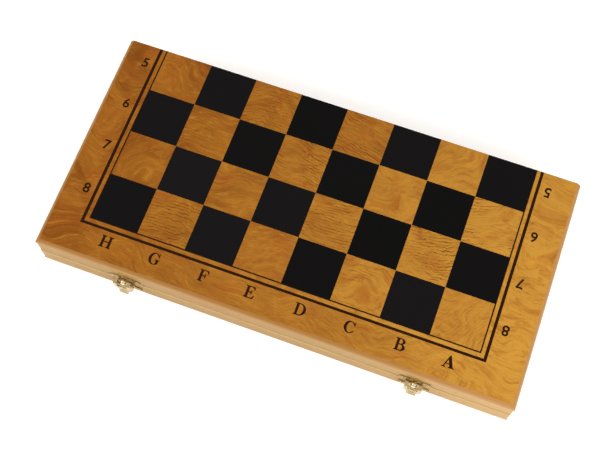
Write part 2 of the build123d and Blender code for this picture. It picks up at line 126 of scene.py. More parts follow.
class ChessBoxMetal(bpy.types.PropertyGroup):
    """Finish of the hinges, nails and latches."""
    brass: paint("Brass", "Colour of the hinges, the nails and the latch plates", (0.78, 0.54, 0.20))
    pale: paint("Pale brass", "Colour of the levers", (0.55, 0.42, 0.195))
    plating: paint("Plating", "Colour of the plated ball studs", (0.88, 0.77, 0.52))
    tarnish: paint("Tarnish", "Colour of the dull brass in corners", (0.23, 0.12, 0.035))
    nail_pitch: length("Nail pitch", "Between the two nails of a latch plate", 17.8 * MM)
    catch_nail: length("Catch nail", "Height of the catch's nails above the split", 3.7 * MM)
    base_nail: length("Base nail", "Depth of the base plate's nails below the split", 8.5 * MM)
    nail_radius: length("Nail radius", "Radius of a nail's domed head", 1.15 * MM)
    dome: length("Nail dome", "Height of a nail's domed head", 0.45 * MM)
    ribs: bpy.props.IntProperty(
        name="Ribs", description="Number of finger ribs on a latch's bill", default=4, min=1, max=8)


class ChessBoxMen(bpy.types.PropertyGroup):
    """Colours of the chessmen and the shape of the horse's head."""
    light: paint("Light men", "Colour of the light army's wood", (0.70, 0.46, 0.20))
    dark: paint("Dark men", "Colour of the dark army's wood", (0.042, 0.018, 0.010))
    knight_height: length("Knight height", "Height of a knight", 42 * MM)
    knight_foot: length("Knight foot", "Diameter of a knight's foot", 21 * MM)
    head_thickness: length("Head thickness", "Thickness of a knight's head", 10 * MM)


class ChessBoxStudio(bpy.types.PropertyGroup):
    """Camera and lights."""
    distance: length("Distance", "From the camera to the point it aims at", 0.735)
    lens: bpy.props.FloatProperty(
        name="Lens", description="Focal length in millimetres", default=61.76, min=1)
    key: bpy.props.FloatProperty(
        name="Key light", description="Power of the key softbox", default=4.5, min=0, unit="POWER")
    fill: bpy.props.FloatProperty(
        name="Fill light", description="Power of the fill softbox", default=12.0, min=0, unit="POWER")
    surround: bpy.props.FloatProperty(
        name="Surround", description="Strength of the pale studio walls", default=2.7, min=0)


# ---------------- short calls for nodes
class Wire:
    """Output of a shader node. Sums, differences, products and quotients of wires make Math nodes."""

    def __init__(self, tree, socket):
        self.tree, self.socket = tree, socket

    def __add__(self, other):
        return calc("ADD", self, other)

    def __sub__(self, other):
        return calc("SUBTRACT", self, other)

    def __rsub__(self, other):
        return calc("SUBTRACT", other, self)

    def __mul__(self, other):
        return calc("MULTIPLY", self, other)

    def __truediv__(self, other):
        return calc("DIVIDE", self, other)


def put(socket, value):
    """Wire a socket, or set its constant."""
    if isinstance(value, Wire):
        value.tree.links.new(value.socket, socket)
    else:
        socket.default_value = value


def node(kind, terms, **traits):
    """Wires from a new node in its terms' tree; a term goes to the input of its name or number."""
    tree = next(term.tree for term in terms.values() if isinstance(term, Wire))
    made = tree.nodes.new(f"ShaderNode{kind}")
    for name, value in traits.items():
        setattr(made, name, value)
    for key, term in terms.items():
        put(made.inputs[key], term)
    return [Wire(tree, socket) for socket in made.outputs]


def calc(operation, *terms, clamp=False):
    """One Math node."""
    return node("Math", dict(enumerate(terms)), operation=operation, use_clamp=clamp)[0]


def vec(operation, *terms):
    """One Vector Math node; its value output serves for lengths."""
    wires = node("VectorMath", dict(enumerate(terms)), operation=operation)
    return wires[1 if operation == "LENGTH" else 0]


def scaled(vector, scale):
    """A vector made longer or shorter."""
    return node("VectorMath", {0: vector, "Scale": scale}, operation="SCALE")[0]


def stretched(vector, along_x, along_y, along_z=1.0):
    """A vector with each part multiplied by its own number."""
    return vec("MULTIPLY", vector, (along_x, along_y, along_z))


def split(vector):
    """The three parts of a vector."""
    return node("SeparateXYZ", {0: vector})


def merge(x, y, z):
    """A vector from three parts."""
    return node("CombineXYZ", {0: x, 1: y, 2: z})[0]


def noise(vector, scale, detail=3.0, roughness=0.5, colour=False):
    """Noise over a vector, its scale in cycles per metre."""
    terms = {"Vector": vector, "Scale": scale, "Detail": detail, "Roughness": roughness}
    return node("TexNoise", terms)[1 if colour else 0]


def step(value, low, high):
    """Smooth step from 0 at low to 1 at high."""
    return node("MapRange", {"Value": value, "From Min": low, "From Max": high},
                interpolation_type="SMOOTHSTEP")[0]


def tint(factor, first, second):
    """Blend of two colours."""
    terms = {"Factor": factor}
    for number, colour in ((6, first), (7, second)):
        terms[number] = colour if isinstance(colour, Wire) else (*colour[:3], 1.0)
    return node("Mix", terms, data_type="RGBA")[2]


def shade(colour, factor):
    """A colour made lighter or darker."""
    return tuple(min(1.0, part * factor) for part in colour[:3])


KINDS_OF_SOCKET = {True: "NodeSocketVector", False: "NodeSocketFloat"}


def group(name, **inputs):
    """A new shader node group, its inputs named with underscores for spaces, and the wires from them."""
    tree = bpy.data.node_groups.new(name, "ShaderNodeTree")
    for label, default in inputs.items():
        kind = KINDS_OF_SOCKET[isinstance(default, tuple)]
        socket = tree.interface.new_socket(label.replace("_", " "), in_out="INPUT", socket_type=kind)
        socket.default_value = default
    start = tree.nodes.new("NodeGroupInput")
    return [Wire(tree, socket) for socket in start.outputs[:len(inputs)]]


def give(**wires):
    """End a group, with an output for each wire."""
    tree = next(iter(wires.values())).tree
    for label, wire in wires.items():
        kind = KINDS_OF_SOCKET[wire.socket.type == "VECTOR"]
        tree.interface.new_socket(label, in_out="OUTPUT", socket_type=kind)
    end = tree.nodes.new("NodeGroupOutput")
    for label, wire in wires.items():
        put(end.inputs[label], wire)


def place_group(name, **values):
    """Wires by name from a group placed in a material, its inputs named with underscores for spaces."""
    terms = {label.replace("_", " "): value for label, value in values.items()}
    wires = node("Group", terms, node_tree=bpy.data.node_groups[name])
    return {wire.socket.name: wire for wire in wires}


def material(name):
    """A material, its Principled BSDF's inputs and its object coordinates."""
    made = bpy.data.materials.new(name)
    made.use_nodes = True
    nodes = made.node_tree.nodes
    where = nodes.new("ShaderNodeTexCoord").outputs["Object"]
    return made, nodes["Principled BSDF"].inputs, Wire(made.node_tree, where)


def bump(shader, height, strength, distance):
    """Bump from a height, wired to the shader's normal."""
    terms = {"Strength": strength, "Distance": distance, "Height": height}
    put(shader["Normal"], node("Bump", terms)[0])


def dress(obj, made):
    """Give every slot of a piece the same material."""
    if not obj.data.materials:
        obj.data.materials.append(made)
    for index in range(len(obj.data.materials)):
        obj.data.materials[index] = made


# ---------------- shared effects
def build_groups():
    """The node groups that several materials share."""

    # Burl figure: coordinates pushed about by noise carry clouds, combed streaks and thin broken lines
    vector, turn = group("Burl figure", Vector=ORIGIN, Turn=0.0)
    flat = node("VectorRotate", {"Vector": vector, "Angle": turn}, rotation_type="Z_AXIS")[0]
    push = vec("SUBTRACT", noise(flat, 17, 2.0, 0.5, True), (0.5, 0.5, 0.5))
    swirled = vec("ADD", flat, scaled(push, 0.075))

    def combed(thinner, *grain):
        """Noise over the swirled coordinates, drawn out along X."""
        return noise(stretched(swirled, 1.0, thinner), *grain)

    x, y, z = split(vec("ADD", flat, scaled(push, 0.014)))
    ripple = noise(flat, 150, 3.0, 0.62) * 0.0046
    crest = calc("SINE", (y + ripple) * 3000.0) * 0.5 + 0.5
    broken = step(noise(stretched(flat, 1.0, 6.0), 62, 3.0, 0.65), 0.40, 0.56)
    patch = step(noise(flat, 30, 1.0, 0.5), 0.36, 0.52)
    give(Clouds=step(combed(2.0, 30, 3.0, 0.55), 0.34, 0.66),
         Swaths=step(combed(3.0, 44, 4.0, 0.62), 0.47, 0.64),
         Streaks=step(combed(10.0, 26, 5.0, 0.66), 0.36, 0.68), Fibres=combed(4.5, 110, 5.0, 0.72),
         Lines=step(crest, 0.84, 1.0) * (broken * patch),
         Flecks=step(combed(2.2, 900, 2.0, 0.6), 0.60, 0.74))

    # Board print: rank and file squares, the two border lines, and a number for each square
    vector, first_file, fold, square, odd = group("Board print", Vector=ORIGIN, First_file=0.0, Fold=0.0,
                                                  Square=0.035, Odd=0.0)
    x, y, z = split(vector)
    u, v = (x - first_file) / square, (fold - y) / square

    def within(low, high, foot):
        """Distance inside a border, in squares, below zero outside it."""
        return calc("MINIMUM", calc("MINIMUM", u - low, high - u), foot - v)

    soft = 0.002
    board = within(0.0, 8.0, 4.0)
    inside = step(board, -soft, soft)
    file_number, rank_number = calc("FLOOR", u), calc("FLOOR", v)
    count = file_number + rank_number + odd
    squares = inside * calc("GREATER_THAN", calc("FRACT", count * 0.5), 0.25)
    thin = 1.0 - step(calc("ABSOLUTE", board), 0.012, 0.017)
    outer = step(within(-0.155, 8.148, BORDER_FOOT), -soft, soft)
    inner = step(within(-0.091, 8.086, 4.095), -soft, soft)
    border = calc("MAXIMUM", thin, calc("SUBTRACT", outer, inner, clamp=True))
    give(Ink=calc("MAXIMUM", squares, border), Border=border * (1.0 - squares),
         Cell=merge(file_number * inside, rank_number * inside, 0.0), Inside=inside)

    # Softwood: rings round a pith line that runs along Y, wavy along their length, with fine fibres
    vector, pith, ring_width, waver = group("Softwood", Vector=ORIGIN, Pith=ORIGIN, Ring_width=0.0026,
                                            Waver=0.003)
    moved = vec("SUBTRACT", vector, pith)
    slow = stretched(moved, 1.0, 0.16)
    x, y, z = split(moved)
    turns = (vec("LENGTH", merge(x, 0.0, z)) + noise(slow, 45, 3.0, 0.5) * waver) / ring_width
    part = calc("FRACT", turns)
    late = step(part, 0.25, 0.88) * (1.0 - step(part, 0.90, 0.99))
    uneven = step(noise(merge(calc("FLOOR", turns), 0.0, 0.0), 0.73, 0.0), 0.25, 0.75)
    give(Rings=late * (uneven * 0.65 + 0.35), Fibres=noise(stretched(moved, 1.0, 0.035), 2600, 3.0, 0.65),
         Clouds=noise(slow, 60, 2.0, 0.5))

    # Handled metal: dull patches, fine scratches and a grainy height
    [vector] = group("Handled metal", Vector=ORIGIN)
    tilted = node("VectorRotate", {"Vector": vector, "Angle": 0.5}, rotation_type="Y_AXIS")[0]
    give(Dull=step(noise(vector, 420, 5.0, 0.65), 0.42, 0.72),
         Scratches=step(noise(stretched(tilted, 12.0, 1.0, 0.7), 900, 2.0, 0.6), 0.58, 0.74),
         Grain=noise(vector, 3400, 3.0, 0.6))


# ---------------- materials
def veneer_material(half, board):
    """Printed board: veneer figure and ink on the outer face, golden towards the right-front partly in the
    veneer's tone and partly painted light; plain sealed wood on bevels and inside, made lighter towards
    the right end by painted light, with a painted highlight on the rounded edge.
    """
    made, shader, where = material(f"{half}_board_veneer")
    top = half == "upper"
    x, y, z = split(where)
    depth = calc("ABSOLUTE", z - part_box(f"{half}_panel")[1 if top else 0].z)
    face = calc("LESS_THAN", depth, 0.06 * MM)
    printed = place_group("Board print", Vector=where, First_file=board.file_edge, Fold=board.fold,
                          Square=board.square, Odd=0.0 if top else 1.0)
    cell, inside = printed["Cell"], printed["Inside"]
    chance, triple = node("TexWhiteNoise", {"Vector": vec("ADD", cell, (3.7, 1.3, 0.5))},
                          noise_dimensions="3D")
    chances = split(triple)
    turn = inside * (calc("GREATER_THAN", chance, 0.82) * 1.57 + (chance - 0.5))
    apart = vec("ADD", merge(x, y, 0.0), scaled(cell, 0.317))
    figure = place_group("Burl figure", Vector=apart, Turn=turn + 0.15)
    fibres, dark = figure["Fibres"], board.veneer_dark
    # Golden towards the right and front: partly the veneer's own tone, partly painted light falling from
    # the right-front. The strip and the rust below follow it.
    golden_and_painted_light = step(x - y * 0.40, -0.15, 0.23)
    colour = tint(figure["Clouds"], dark, board.veneer)
    colour = tint(figure["Streaks"] * 0.50, colour, shade(board.veneer, 1.12))
    colour = tint(golden_and_painted_light * 0.83, colour, board.veneer_light)
    strip = calc("LESS_THAN", y, board.fold - BORDER_FOOT * board.square) * step(x, 0.135, 0.030)
    colour = tint(strip * golden_and_painted_light * 0.66, colour, shade(dark, 1.25))
    colour = tint(step(inside * chances[2], 0.45, 1.0) * 0.30, colour, shade(dark, 1.35))
    rust = (step(noise(apart, 19, 2.0, 0.5), 0.40, 0.60) * 0.52 + 0.30) * (1.0 - golden_and_painted_light * 0.42)
    colour = tint(figure["Swaths"] * rust, colour, board.veneer_rust)
    colour = tint(step(fibres, 0.52, 0.30) * 0.50, colour, shade(dark, 1.15))
    colour = tint(step(fibres, 0.50, 0.72) * 0.30, colour, board.veneer_light)
    colour = tint(figure["Flecks"] * 0.16, colour, shade(dark, 0.45))
    lined = step(chances[1], 0.20, 0.75) * 0.75 + 0.25
    colour = tint(figure["Lines"] * (lined * 0.95), colour, shade(dark, 0.48))
    dust = noise(where, 2400, 2.0, 0.6)
    ink = tint(chances[0], shade(board.ink, 0.5), shade(board.ink, 2.1))
    ink = tint(step(dust, 0.66, 0.80) * 0.5, ink, shade(board.ink, 3.0))
    ink = tint(printed["Border"], ink, board.line_ink)
    colour = tint(printed["Ink"], colour, ink)
    rail = place_group("Softwood", Vector=merge(y, x, z), Pith=(0.0, 0.0, -0.05), Ring_width=0.0031)
    wood = tint(rail["Rings"], BEVEL_EARLY, BEVEL_LATE)
    wood = tint(rail["Fibres"] * 0.5, wood, BEVEL_FIBRE)
    # Painted light: the sealed wood turns lighter towards the right end.
    wood = tint(step(x, 0.04, 0.19) * 0.6, wood, BEVEL_PAINTED_LIGHT)
    # Painted highlight: wood more than 1 to 3 mm below the printed face, the lower part of the rounded
    # edge, is made paler.
    wood = tint(step(depth, 1.0 * MM, 2.9 * MM) * 0.8, wood, BEVEL_PAINTED_HIGHLIGHT)
    put(shader["Base Color"], tint(face, wood, colour))
    satin = noise(where, 300, 3.0, 0.6) * 0.10 + 0.22
    matt = rail["Fibres"] * 0.12 + 0.50
    put(shader["Roughness"], satin * face + matt * (1.0 - face))
    shader["Specular IOR Level"].default_value = 0.07
    grain = figure["Streaks"] * 0.35 + dust * 0.65
    bump(shader, grain - figure["Lines"] * 0.5, 0.10, 0.05 * MM)
    return made


def pine_material(name, board, along_x, pith, ring_width, split_z):
    """Softwood rail: rings round its own pith, fibres along it, painted light towards the right end, and a
    painted highlight on the arris where the halves meet.
    """
    made, shader, where = material(name)
    x, y, z = split(where)
    turned = merge(y, x, z) if along_x else where
    wood = place_group("Softwood", Vector=turned, Pith=pith, Ring_width=ring_width, Waver=0.004)
    rings, fibres = wood["Rings"], wood["Fibres"]
    colour = tint(rings * 0.78, board.pine, shade(board.pine, 0.60))
    colour = tint(fibres * 0.42, colour, PINE_FIBRE)
    colour = tint(step(wood["Clouds"], 0.48, 0.80), colour, PINE_CLOUD)
    # Painted light: the front and back rails turn lighter towards the right end.
    if along_x:
        colour = tint(step(x, 0.02, 0.19) * 0.50, colour, PINE_PAINTED_LIGHT)
    fleck = step(noise(stretched(turned, 1.0, 0.12), 1300, 1.0), 0.66, 0.78)
    colour = tint(fleck * 0.50, colour, PINE_FLECK)
    # Painted highlight: a pale band on both sides of the split line, standing in for the light the ledge
    # catches.
    painted_ledge_highlight = step(calc("ABSOLUTE", z - split_z), 0.75 * MM, 0.10 * MM)
    put(shader["Base Color"], tint(painted_ledge_highlight * 0.9, colour, PINE_PAINTED_LEDGE_HIGHLIGHT))
    put(shader["Roughness"], fibres * 0.18 + 0.42)
    shader["Specular IOR Level"].default_value = 0.30
    bump(shader, fibres - rings * 0.4, 0.22, 0.06 * MM)
    return made


def brass_material(name, metal, base, dull, roughness):
    """Stamped brass: bright where it is handled, brown where it is dull, with fine scratches."""
    made, shader, where = material(name)
    worn = place_group("Handled metal", Vector=where)
    patches, scratches = worn["Dull"] * dull, worn["Scratches"]
    colour = tint(patches, base, metal.tarnish)
    put(shader["Base Color"], tint(scratches * 0.4, colour, shade(base, 1.22)))
    shader["Metallic"].default_value = 1.0
    put(shader["Roughness"], patches * 0.28 + roughness + scratches * 0.10)
    bump(shader, worn["Grain"] * 0.5 - scratches, 0.20, 0.02 * MM)
    return made


def felt_material(board):
    """Wool felt: matted fibres of two lengths over the base colour, dry and rough."""
    made, shader, where = material("lining_felt")
    clumps = noise(where, 260, 4.0, 0.6)
    mat = calc("MAXIMUM", noise(stretched(where, 1.0, 2.6), 2800, 3.0, 0.7),
               noise(stretched(where, 2.6, 1.0), 2300, 3.0, 0.7))
    colour = tint(step(clumps, 0.30, 0.70), shade(board.felt, 0.72), shade(board.felt, 1.25))
    put(shader["Base Color"], tint(step(mat, 0.52, 0.75) * 0.55, colour, shade(board.felt, 2.6)))
    put(shader["Roughness"], clumps * 0.12 + 0.86)
    shader["Sheen Weight"].default_value = 0.35
    shader["Sheen Roughness"].default_value = 0.5
    shader["Specular IOR Level"].default_value = 0.15
    bump(shader, mat, 0.6, 0.25 * MM)
    return made


def man_material(name, colour, wear):
    """Turned and lacquered wood, its grain along Y as the men lie, worn paler by handling."""
    made, shader, where = material(name)
    wood = place_group("Softwood", Vector=where, Pith=(0.013, 0.0, -0.011), Ring_width=0.0017, Waver=0.002)
    body = tint(wood["Rings"] * 0.5, colour, shade(colour, 0.58))
    body = tint(wood["Fibres"] * 0.4, body, shade(colour, 1.3))
    rubbed = step(noise(where, 190, 4.0, 0.6), 0.56, 0.74)
    put(shader["Base Color"], tint(rubbed * wear, body, shade(colour, 1.9)))
    put(shader["Roughness"], rubbed * 0.20 + 0.26)
    shader["Coat Weight"].default_value = 0.25
    shader["Coat Roughness"].default_value = 0.12
    bump(shader, wood["Fibres"], 0.12, 0.05 * MM)
    return made


def ink_material(board):
    """Printer's brown-black, dry and a little uneven."""
    made, shader, where = material("printed_ink")
    speck = noise(where, 2600, 3.0, 0.6)
    put(shader["Base Color"], tint(step(speck, 0.55, 0.80), board.line_ink, shade(board.line_ink, 1.6)))
    put(shader["Roughness"], speck * 0.15 + 0.30)
    shader["Specular IOR Level"].default_value = 0.07
    bump(shader, speck, 0.15, 0.03 * MM)
    return made


# ---------------- short calls for meshes
def added(name, data):
    """A new object in the scene."""
    obj = bpy.data.objects.new(name, data)
    bpy.context.scene.collection.objects.link(obj)
    return obj


def piece(name, shape, made, body, smooth=True):
    """A mesh object from (points, faces), welded, its faces turned outwards, which rides on a body."""
    points, faces = shape
    mesh = bpy.data.meshes.new(name)
    mesh.from_pydata(points.tolist(), [], clean(faces))
    mesh.validate()
    mesh.polygons.foreach_set("use_smooth", np.full(len(mesh.polygons), smooth))
    bm = bmesh.new()
    bm.from_mesh(mesh)
    bmesh.ops.remove_doubles(bm, verts=bm.verts, dist=1e-6)
    bmesh.ops.recalc_face_normals(bm, faces=bm.faces)
    bm.to_mesh(mesh)
    bm.free()
    obj = added(name, mesh)
    dress(obj, made)
    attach(obj, body)
    return obj


def clean(faces):
    """Quads with a repeated last corner become triangles."""
    return [face[:3] if face[2] == face[-1] else face for face in faces.tolist()]


def around(count):
    """Angles spread over a full turn."""
    return np.linspace(0, 2 * np.pi, count, endpoint=False)


def grid_faces(rows, columns, wrap):
    """Quads between neighbouring points of a grid; wrap joins the last column to the first."""
    i, j = np.meshgrid(np.arange(rows - 1), np.arange(columns if wrap else columns - 1), indexing="ij")
    k = (j + 1) % columns
    return np.stack([i * columns + j, i * columns + k, (i + 1) * columns + k, (i + 1) * columns + j],
                    axis=-1).reshape(-1, 4)


def tube(points, columns, ends):
    """Closed shape from a grid of points round an axis, its first and last rows drawn to the two ends."""
    points = points.reshape(-1, 3)
    j = np.arange(columns)
    k = (j + 1) % columns
    last = len(points) - columns
    caps = [np.stack([a, b, np.full(columns, tip), np.full(columns, tip)], axis=-1)
            for a, b, tip in ((k, j, len(points)), (last + j, last + k, len(points) + 1))]
    faces = grid_faces(len(points) // columns, columns, True)
    return np.concatenate([points, ends]), np.concatenate([faces, *caps])


def together(shapes):
    """Several (points, faces) shapes as one, their face numbers moved on."""
    points, faces, start = [], [], 0
    for p, f in shapes:
        points.append(p)
        faces.append(f + start)
        start += len(p)
    return np.concatenate(points), np.concatenate(faces)


def dome(centre, normal, across, radius, rise, rings=7, spokes=20):
    """Low dome: at share t of the radius it stands rise (1 - t squared) high, and a cone closes it."""
    t = np.linspace(1.0, 0.04, rings)[:, None]
    a = around(spokes)
    side = np.cross(normal, across)
    reach = radius * t
    height = rise * (1 - t ** 2)
    top = (centre + (reach * np.cos(a))[..., None] * across + (reach * np.sin(a))[..., None] * side
           + (height + 0 * a)[..., None] * normal)
    return tube(top, spokes, [centre - 0.1 * MM * normal, centre + rise * normal])


def bar(start, end, radius, sides=12, knots=9):
    """Rib with rounded ends: radius times the square root of 1 - s to the 6th, s from -1 to 1 along it."""
    s = np.linspace(-1, 1, knots)[:, None]
    a = around(sides)
    along = (end - start) / 2
    across = np.cross(along, (0.0, 0.0, 1.0))
    across = across / np.linalg.norm(across)
    up = np.cross(across, along / np.linalg.norm(along))
    r = radius * np.sqrt(np.maximum(1 - s ** 6, 0.004))
    points = ((start + end) / 2 + s[..., None] * along + (r * np.cos(a))[..., None] * across
              + (r * np.sin(a))[..., None] * up)
    return tube(points, sides, [start, end])


# ---------------- lettering
ARMS = [(.29, .475), (.42, .475), (.50, .44), (.53, .33), (.57, .33), (.57, .68), (.53, .68), (.50, .57),
        (.42, .535), (.29, .535), (.29, .945), (.52, .945), (.65, .90), (.74, .74), (.78, .74), (.75, 1),
        (0, 1), (0, .955), (.10, .93), (.10, .07), (0, .045)]
BEAK = [(.84, .72), (.86, .66), (.895, .66), (.885, 1.01), (.85, 1.01)]
GLYPHS = {
    "H": [[(0, 0), (.39, 0), (.39, .05), (.29, .08), (.29, .47), (.71, .47), (.71, .08), (.61, .05),
           (.61, 0), (1, 0), (1, .05), (.90, .08), (.90, .92), (1, .95), (1, 1), (.61, 1), (.61, .95),
           (.71, .92), (.71, .54), (.29, .54), (.29, .92), (.39, .95), (.39, 1), (0, 1), (0, .95),
           (.10, .92), (.10, .08), (0, .05)]],
    "E": [[(0, 0), (.78, 0), (.83, .28), (.79, .28), (.68, .10), (.55, .055), (.29, .055), *ARMS]],
    "F": [[(0, 0), (.42, 0), (.42, .045), (.29, .07), *ARMS]],
    "A": [[(0, 0), (.33, 0), (.33, .045), (.215, .07), (.29, .28), (.60, .28), (.675, .07), (.57, .045),
           (.57, 0), (1.02, 0), (1.02, .045), (.93, .07), (.58, 1.02), (.50, 1.02), (.13, .07), (0, .045)],
          [(.315, .34), (.575, .34), (.45, .70)]],
}


def arc(centre, radii, start, end, count=28):
    """Points on an ellipse between two angles in degrees."""
    a = np.radians(np.linspace(start, end, count))
    return list(zip(centre[0] + radii[0] * np.cos(a), centre[1] + radii[1] * np.sin(a)))


def round_glyphs():
    """The letters with bowls, from arcs of ellipses: B, C, D and G."""
    stem = [(0, 1), (0, .955), (.10, .93), (.10, .07), (0, .045), (0, 0)]
    made = {"D": [stem + arc((.40, .5), (.53, .5), -90, 90),
                  [(.29, .06)] + arc((.40, .5), (.33, .445), -90, 90) + [(.29, .94)]]}
    made["B"] = [stem + arc((.45, .275), (.40, .275), -90, 62) + arc((.42, .765), (.355, .235), -52, 90),
                 [(.29, .055)] + arc((.43, .275), (.215, .22), -90, 90, 18) + [(.29, .495)],
                 [(.29, .555)] + arc((.41, .75), (.175, .195), -90, 90, 18) + [(.29, .945)]]
    outer = arc((.49, .5), (.47, .52), 42, 318, 44)
    inner = arc((.53, .5), (.29, .465), 312, 48, 36)
    made["C"] = [outer[:1] + outer + [(.90, .235), (.865, .255)] + inner + BEAK]
    spur = [(.74, .03), (.80, .07), (.89, .10), (.89, .40), (.98, .43), (.98, .47), (.58, .47), (.58, .43),
            (.70, .40), (.70, .09)]
    made["G"] = [outer[:-4] + spur + inner[3:] + BEAK]
    return made


def flat_mesh(curve):
    """Mesh of a flat curve or a text, with its triangles, as (points, faces)."""
    obj = added("outline", curve)
    bpy.context.view_layer.update()
    mesh = bpy.data.meshes.new_from_object(obj.evaluated_get(bpy.context.evaluated_depsgraph_get()))
    mesh.calc_loop_triangles()
    points = np.zeros(len(mesh.vertices) * 3)
    mesh.vertices.foreach_get("co", points)
    faces = np.zeros(len(mesh.loop_triangles) * 3, int)
    mesh.loop_triangles.foreach_get("vertices", faces)
    bpy.data.objects.remove(obj)
    bpy.data.curves.remove(curve)
    bpy.data.meshes.remove(mesh)
    return points.reshape(-1, 3), faces.reshape(-1, 3)


def letter_shape(character, height):
    """Serif letter, its middle at the origin, as a closed slab: filled outlines swept through the ink."""
    curve = bpy.data.curves.new("letter", "CURVE")
    curve.dimensions = "2D"
    curve.fill_mode = "BOTH"
    curve.extrude = 0.02
    curve.offset = 0.014
    outlines = GLYPHS.get(character) or round_glyphs()[character]
    for outline in outlines:
        spline = curve.splines.new("POLY")
        spline.points.add(len(outline) - 1)
        spots = np.array([(x, y, 0, 1) for x, y in outline], float)
        spline.points.foreach_set("co", spots.ravel())
        spline.use_cyclic_u = True
    return centred(flat_mesh(curve), height)


def digit_shape(character, height):
    """Plain rank number, its middle at the origin, as a closed slab."""
    text = bpy.data.curves.new("digit", "FONT")
    text.body = character
    text.extrude = 0.02
    text.offset = 0.02
    return centred(flat_mesh(text), height)


def centred(shape, height):
    """Shape scaled to a height, with its middle at the origin and its foot at z = 0 and top at z = 1."""
    points, faces = shape
    low, high = points.min(0), points.max(0)
    scale = height / (high[1] - low[1])
    middle = (low + high) / 2
    flat = (points - middle) * (scale, scale, 1.0)
    flat[:, 2] = (points[:, 2] > middle[2]) * 1.0
    return flat, faces


def set_down(shape, origin, across, up, thickness):
    """Shape carried onto a face: its x runs along across, its y along up and its z out of the face."""
    points, faces = shape
    return origin + points @ np.array([across, up, thickness * np.cross(across, up)]), faces


# ---------------- operators
class CHESSBOX_OT_board(bpy.types.Operator):
    """Dress the two boards in printed veneer"""
    bl_idname = "chessbox.board"
    bl_label = "Boards"

    def execute(self, context):
        board = context.scene.chess_box_board
        for half in HALVES:
            dress(NODES[f"{half}_panel"], veneer_material(half, board))
        return {"FINISHED"}


class CHESSBOX_OT_lettering(bpy.types.Operator):
    """Print the file letters and the rank numbers in the margins"""
    bl_idname = "chessbox.lettering"
    bl_label = "Lettering"

    def execute(self, context):
        board = context.scene.chess_box_board
        made = ink_material(board)
        square, ink = board.square, board.ink_thickness
        for half in HALVES:
            low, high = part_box(f"{half}_panel")
            top = half == "upper"
            face_z, way = (high.z, 1) if top else (low.z, -1)
            letters, digits = [], []
            for number, (character, nudge) in enumerate(zip(FILES, NUDGES)):
                x = board.file_edge + (number + 0.5) * square + way * nudge * MM
                spot = (x, board.fold - LETTER_ROW * square, face_z)
                shape = letter_shape(character, board.letter_height)
                letters.append(set_down(shape, spot, (way, 0, 0), (0, 1, 0), ink))
            ranks = "5678" if top else "4321"
            for number, character in enumerate(ranks):
                y = board.fold - (number + DIGIT_ROW) * square
                shape = digit_shape(character, board.digit_height)
                for u, turn in DIGIT_COLUMNS:
                    spot = (board.file_edge + u * square, y, face_z)
                    digits.append(set_down(shape, spot, (turn, 0, 0), (0, turn * way, 0), ink))
            for name, shapes in (("letters", letters), ("numbers", digits)):
                piece(f"{half}_ink_{name}", together(shapes), made, f"{half}_half", False)
        return {"FINISHED"}


class CHESSBOX_OT_rails(bpy.types.Operator):
    """Dress the rails in pine, each with its own rings"""
    bl_idname = "chessbox.rails"
    bl_label = "Rails"

    def execute(self, context):
        board = context.scene.chess_box_board
        split_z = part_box("lower_front_rail")[1].z
        for number, half in enumerate(HALVES):
            for place in ("front", "back", "left", "right"):
                rail = NODES[f"{half}_{place}_rail"]
                low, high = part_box(rail.name)
                along_x = place in ("front", "back")
                middle = (low + high) / 2
                side = middle.y if along_x else middle.x
                beside, below = (0.034, 0.034) if number else (-0.021, 0.046)
                pith = (side + beside, 0.31 * number, middle.z - below)
                rings = (2.4 + 0.5 * number) * MM
                made = pine_material(f"{half}_{place}_pine", board, along_x, pith, rings, split_z)
                dress(rail, made)
        return {"FINISHED"}


class CHESSBOX_OT_lining(bpy.types.Operator):
    """Lay a felt sheet inside each half"""
    bl_idname = "chessbox.lining"
    bl_label = "Felt linings"

    def execute(self, context):
        board = context.scene.chess_box_board
        made = felt_material(board)
        for half in HALVES:
            low, high = (np.array(v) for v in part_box(f"{half}_felt"))
            shape = felt_slab(low, high, 1 if half == "lower" else -1)
            obj = piece(f"{half}_lining", shape, made, f"{half}_half")
            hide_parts(f"{half}_felt")
        return {"FINISHED"}


def felt_slab(low, high, way, cell=2.2 * MM):
    """Closed sheet: a flat back and a face that lies 0.1 mm lower in soft patches, its rim rounded off.

    The face's height is the thickness times (1 - 0.12 p) times the edge term
    0.45 + 0.55 (1 - exp(-d / 0.35 mm)), where d is the way to the nearest edge and p is a half plus
    half the mean of three crossed sines of the place."""
    size = high - low
    nx, ny = (int(n / cell) for n in size[:2])
    ease = lambda n: 0.5 - 0.5 * np.cos(np.pi * np.linspace(0, 1, n))
    line = lambda n: 0.96 * np.linspace(0, 1, n) + 0.04 * ease(n)
    a, b = np.meshgrid(line(ny), line(nx), indexing="ij")
    x, y = low[0] + b * size[0], low[1] + a * size[1]
    patches = (np.sin(310 * x + 2 * np.sin(170 * y)) + np.sin(420 * y + 1.7 * np.sin(230 * x))
               + np.sin(690 * (x + y))) / 6 + 0.5
    edge = np.minimum(np.minimum(x - low[0], high[0] - x), np.minimum(y - low[1], high[1] - y))
    rise = size[2] * (1 - 0.12 * patches) * (0.45 + 0.55 * (1 - np.exp(-edge / (0.35 * MM))))
    back = np.full(x.shape, low[2] if way > 0 else high[2])
    face = np.stack([x, y, back + way * rise], axis=-1).reshape(-1, 3)
    under = np.stack([x, y, back], axis=-1).reshape(-1, 3)
    quads = grid_faces(ny, nx, False)
    count = nx * ny
    index = np.arange(count).reshape(ny, nx)
    rim = np.concatenate([index[0, :], index[1:, -1], index[-1, -2::-1], index[-2:0:-1, 0]])
    after = np.roll(rim, -1)
    wall = np.stack([rim, after, after + count, rim + count], axis=-1)
    return np.concatenate([face, under]), np.concatenate([quads, quads[:, ::-1] + count, wall])


